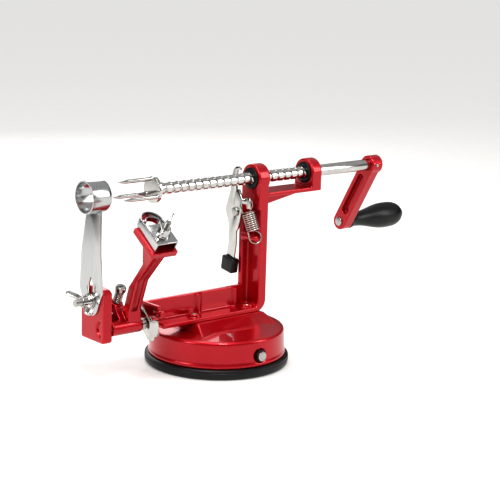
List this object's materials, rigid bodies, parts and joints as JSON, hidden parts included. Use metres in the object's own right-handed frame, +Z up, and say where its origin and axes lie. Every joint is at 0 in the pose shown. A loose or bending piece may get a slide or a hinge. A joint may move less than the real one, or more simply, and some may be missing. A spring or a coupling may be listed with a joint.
{
  "type": "apple peeler corer",
  "caption": "Hand-cranked apple peeler, corer and slicer: a screw-fed fruit fork in a cast C-frame with a sprung peeling arm, slicing blade and suction base.",
  "frame": {"origin": "centre of the suction foot, on the table", "axes": "+X along the feed screw towards the crank, +Y towards the suction lever, +Z up"},
  "size_m": [0.3322, 0.1338, 0.1423],
  "materials": {
    "red_enamel": "glossy candy-red enamel on zinc and iron castings",
    "rubber": "black moulded rubber, slightly shiny",
    "black_plastic": "satin black moulded plastic",
    "steel": "zinc-plated steel",
    "nickel": "bright nickel plate on steel",
    "blade_steel": "polished stainless blade steel"
  },
  "bodies": {
    "stand": {"suction_ring": "rubber", "diaphragm": "rubber", "base_housing": "red_enamel", "frame_screws": "steel", "frame_casting": "red_enamel", "release_pivot": "steel", "slicing_blade": "blade_steel", "corer_ring": "blade_steel", "blade_bolt": "steel", "blade_washer": "steel", "arm_pivot_pin": "steel", "arm_spring": "steel"},
    "suction_drive": {"cam_shaft": "steel", "suction_lever": "red_enamel", "lever_nut": "steel", "cam_clip": "black_plastic"},
    "pad": {"pad_stud": "steel"},
    "bushes": {"front_bush": "black_plastic", "rear_bush": "black_plastic"},
    "feed": {"feed_screw": "nickel", "fruit_fork": "nickel", "crank_arm": "red_enamel", "crank_pin": "steel", "grip_pin": "steel"},
    "grip_body": {"grip": "black_plastic", "grip_cap": "black_plastic"},
    "release": {"release_plate": "nickel", "release_cap": "black_plastic", "release_spring": "steel"},
    "peel_arm": {"peeling_arm": "red_enamel", "peeling_blade": "blade_steel", "peeler_screw": "steel", "adjusting_spring": "steel"},
    "adjuster": {"adjusting_screw": "steel"},
    "peeler_nut": {"peeler_wing_nut": "nickel"},
    "blade_nut": {"blade_wing_nut": "nickel"},
    "catch": {"arm_catch": "nickel"}
  },
  "joints": [
    {"name": "suction_turn", "type": "hinge", "parent": "stand", "child": "suction_drive", "pos_m": [0, 0, 0.015], "axis": [0, -1, 0], "range_deg": [0, 90]},
    {"name": "pad_lift", "type": "slide", "parent": "stand", "child": "pad", "axis": [0, 0, -1], "range_m": [0, 0.0026], "deforming": ["diaphragm"]},
    {"name": "crank_turn", "type": "hinge", "parent": "stand", "child": "bushes", "pos_m": [0, 0, 0.131], "axis": [1, 0, 0], "range_deg": [-1920, 3360]},
    {"name": "shaft_feed", "type": "slide", "parent": "bushes", "child": "feed", "axis": [1, 0, 0], "range_m": [-0.034, 0.0594]},
    {"name": "grip_spin", "type": "hinge", "parent": "feed", "child": "grip_body", "pos_m": [0.1542, 0.0285, 0.08164], "axis": [1, 0, 0], "continuous": true},
    {"name": "release_swing", "type": "hinge", "parent": "stand", "child": "release", "pos_m": [0.0205, 0.006, 0.1065], "axis": [1, 0, 0], "range_deg": [-12, 0], "stiffness_Nm_per_rad": 0.15, "springref_deg": 20.05, "deforming": ["release_spring"]},
    {"name": "arm_swing", "type": "hinge", "parent": "stand", "child": "peel_arm", "pos_m": [-0.0865, -0.007, 0.04], "axis": [1, 0, 0], "range_deg": [0, 38], "stiffness_Nm_per_rad": 0.25, "springref_deg": -40.11},
    {"name": "adjust_turn", "type": "hinge", "parent": "peel_arm", "child": "adjuster", "pos_m": [-0.087, 0.0056, 0.04756], "axis": [0, -0.4131, 0.9107], "range_deg": [-360, 360]},
    {"name": "peeler_nut_turn", "type": "hinge", "parent": "peel_arm", "child": "peeler_nut", "pos_m": [-0.092, -0.05135, 0.10769], "axis": [0, -0.5736, 0.8192], "range_deg": [0, 360]},
    {"name": "blade_nut_turn", "type": "hinge", "parent": "stand", "child": "blade_nut", "pos_m": [-0.11, 0.0035, 0.059], "axis": [-1, 0, 0], "range_deg": [0, 360]},
    {"name": "catch_swing", "type": "hinge", "parent": "stand", "child": "catch", "pos_m": [-0.069, -0.007, 0.04], "axis": [1, 0, 0], "range_deg": [-10, 10]}
  ],
  "couplings": [
    {"joint": "shaft_feed", "follows": "crank_turn", "m_per_rad": 0.0010106},
    {"joint": "pad_lift", "follows": "suction_turn", "m_per_rad": 0.0015915}
  ]
}
